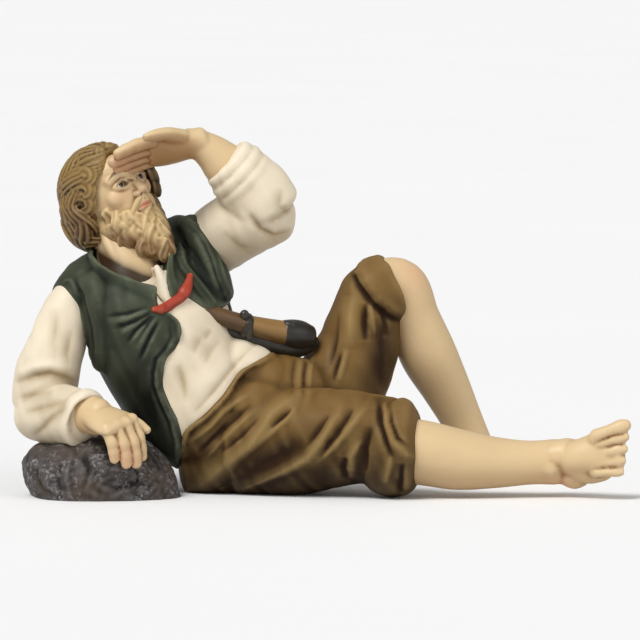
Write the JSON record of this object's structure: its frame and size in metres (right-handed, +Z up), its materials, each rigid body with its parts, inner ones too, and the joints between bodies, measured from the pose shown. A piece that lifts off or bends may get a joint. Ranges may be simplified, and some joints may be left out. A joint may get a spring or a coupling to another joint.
{
  "type": "nativity shepherd figurine",
  "caption": "Painted wood carving of a bearded shepherd lying on the ground, an elbow on a rock and a hand raised to shade his eyes, for a nativity scene.",
  "frame": {"origin": "centre of the bounding box on the ground the figure lies on", "axes": "+X from the rock to the toes, +Y away from the side that the figure shows, +Z up"},
  "size_m": [0.1238, 0.0476, 0.0734],
  "materials": {
    "painted_wood": "satin varnished paint on carved wood"
  },
  "bodies": {
    "root": {"shepherd": "painted_wood"}
  },
  "joints": []
}
